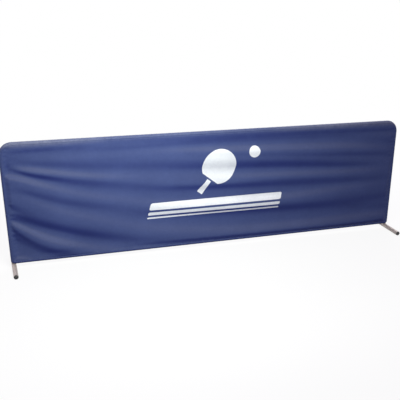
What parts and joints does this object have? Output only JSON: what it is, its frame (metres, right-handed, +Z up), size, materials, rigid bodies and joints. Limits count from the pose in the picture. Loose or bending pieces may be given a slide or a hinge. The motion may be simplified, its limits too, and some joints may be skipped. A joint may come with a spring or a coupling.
{
  "type": "table tennis court barrier",
  "caption": "Free-standing court barrier: a blue fabric cover over a bent tube frame with round top corners, on swivelling tube feet with black caps.",
  "frame": {"origin": "middle of the barrier on the floor, under the panel's middle plane", "axes": "+X along the barrier, to the right as seen from the court; -Y towards the court, the printed side of such a barrier; +Z up"},
  "size_m": [2.3479, 0.3226, 0.7],
  "materials": {
    "cover_fabric": "coated polyester weave, slight sheen",
    "tape_fabric": "hook and loop tape, matte",
    "frame_steel": "satin grey powder coat",
    "foot_steel": "satin grey",
    "bright_steel": "zinc plated",
    "brass": "turned",
    "black_plastic": "moulded, satin",
    "grey_plastic": "moulded, satin grey"
  },
  "bodies": {
    "frame": {"frame_hoop": "frame_steel", "bottom_rail": "frame_steel", "cover_front_panel": "cover_fabric", "cover_rear_panel": "cover_fabric", "cover_edge_band": "cover_fabric", "cover_front_flap": "cover_fabric", "cover_rear_flap": "cover_fabric", "closure_hook_tape": "tape_fabric", "closure_loop_tape": "tape_fabric", "upright_plug_left": "black_plastic", "threaded_insert_left": "brass", "pivot_bolt_left": "bright_steel", "pivot_washer_left": "bright_steel", "upright_plug_right": "black_plastic", "threaded_insert_right": "brass", "pivot_bolt_right": "bright_steel", "pivot_washer_right": "bright_steel"},
    "foot_left": {"foot_tube_left": "foot_steel", "foot_front_cap_left": "black_plastic", "foot_rear_cap_left": "black_plastic", "foot_saddle_left": "grey_plastic"},
    "foot_right": {"foot_tube_right": "foot_steel", "foot_front_cap_right": "black_plastic", "foot_rear_cap_right": "black_plastic", "foot_saddle_right": "grey_plastic"}
  },
  "joints": [
    {"name": "foot_left_swivel", "type": "hinge", "parent": "frame", "child": "foot_left", "pos_m": [-1.1516, 0, 0.0125], "axis": [0, 0, 1], "continuous": true},
    {"name": "foot_right_swivel", "type": "hinge", "parent": "frame", "child": "foot_right", "pos_m": [1.1516, 0, 0.0125], "axis": [0, 0, 1], "continuous": true}
  ]
}
